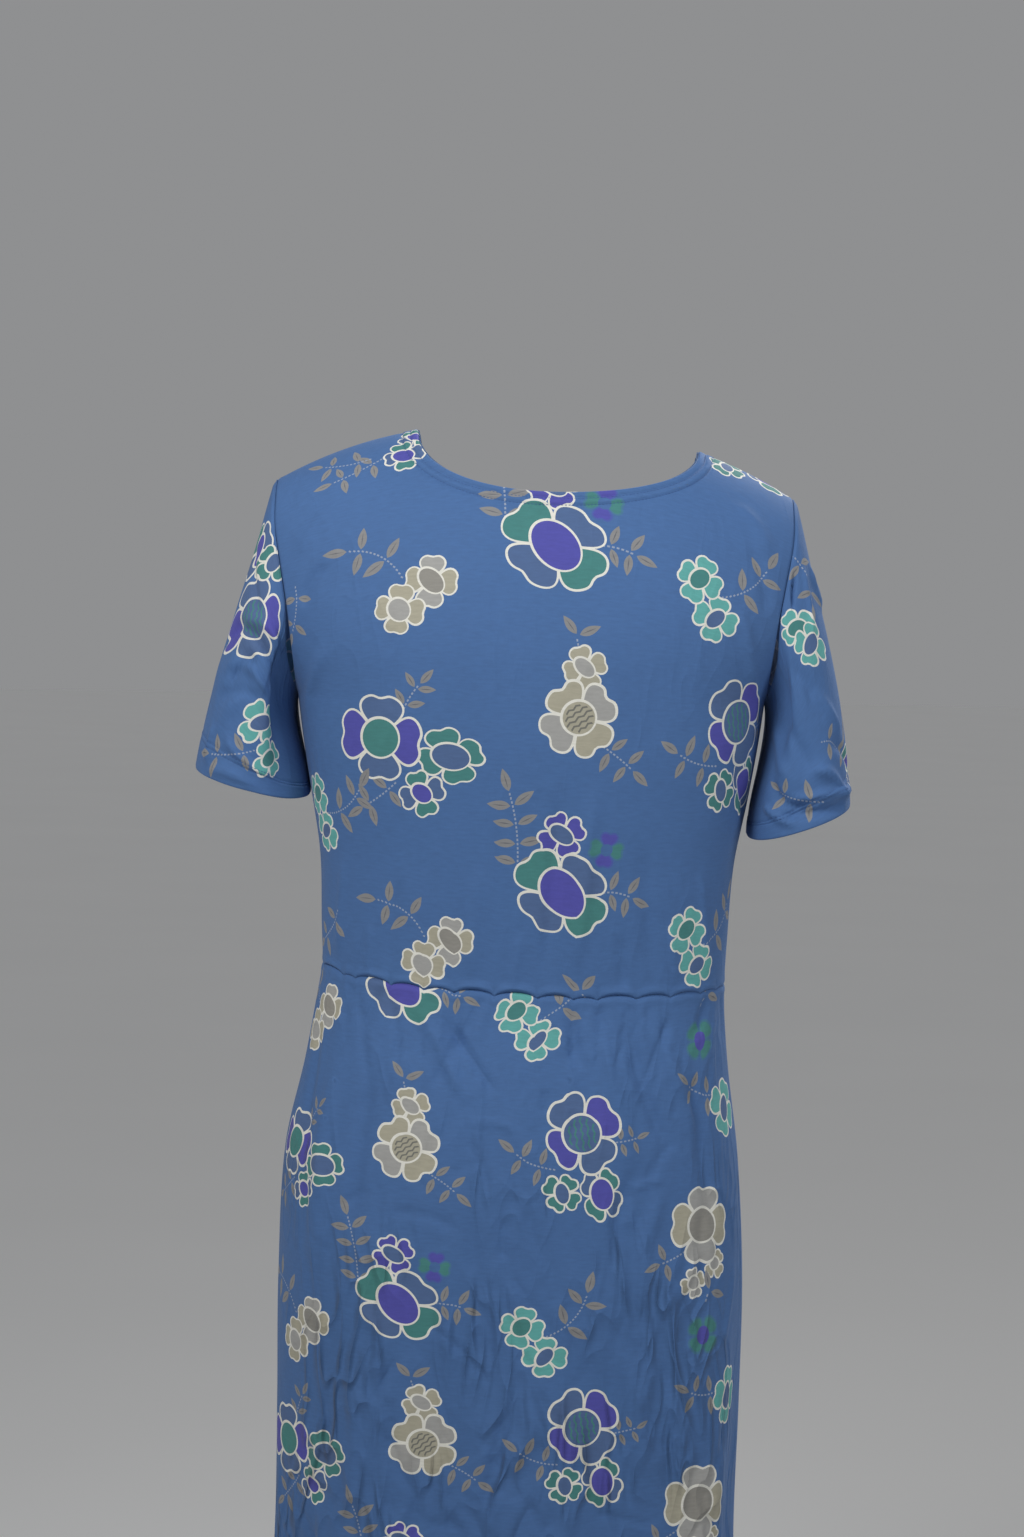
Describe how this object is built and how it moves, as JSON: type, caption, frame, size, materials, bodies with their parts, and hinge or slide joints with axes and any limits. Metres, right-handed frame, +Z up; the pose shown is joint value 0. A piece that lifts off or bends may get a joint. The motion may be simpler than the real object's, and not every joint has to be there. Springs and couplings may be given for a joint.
{
  "type": "shift dress",
  "caption": "Knee-length shift dress in printed jersey, hollow as worn, with a scoop neck, short set-in sleeves and a gathered waist seam.",
  "frame": {"origin": "middle of the figure between the two shoulder seams, where the wearer holds the dress up", "axes": "+Z up along the wearer, -Y the way the wearer faces, +X the wearer's left; the back of the dress faces +Y"},
  "size_m": [0.5258, 0.2703, 1.046],
  "materials": {
    "printed_jersey": "soft matte viscose jersey, blue with an outlined flower and leaf print"
  },
  "bodies": {
    "root": {"back_bodice": "printed_jersey", "front_bodice": "printed_jersey", "back_skirt": "printed_jersey", "front_skirt": "printed_jersey", "left_sleeve": "printed_jersey", "right_sleeve": "printed_jersey"}
  },
  "joints": []
}
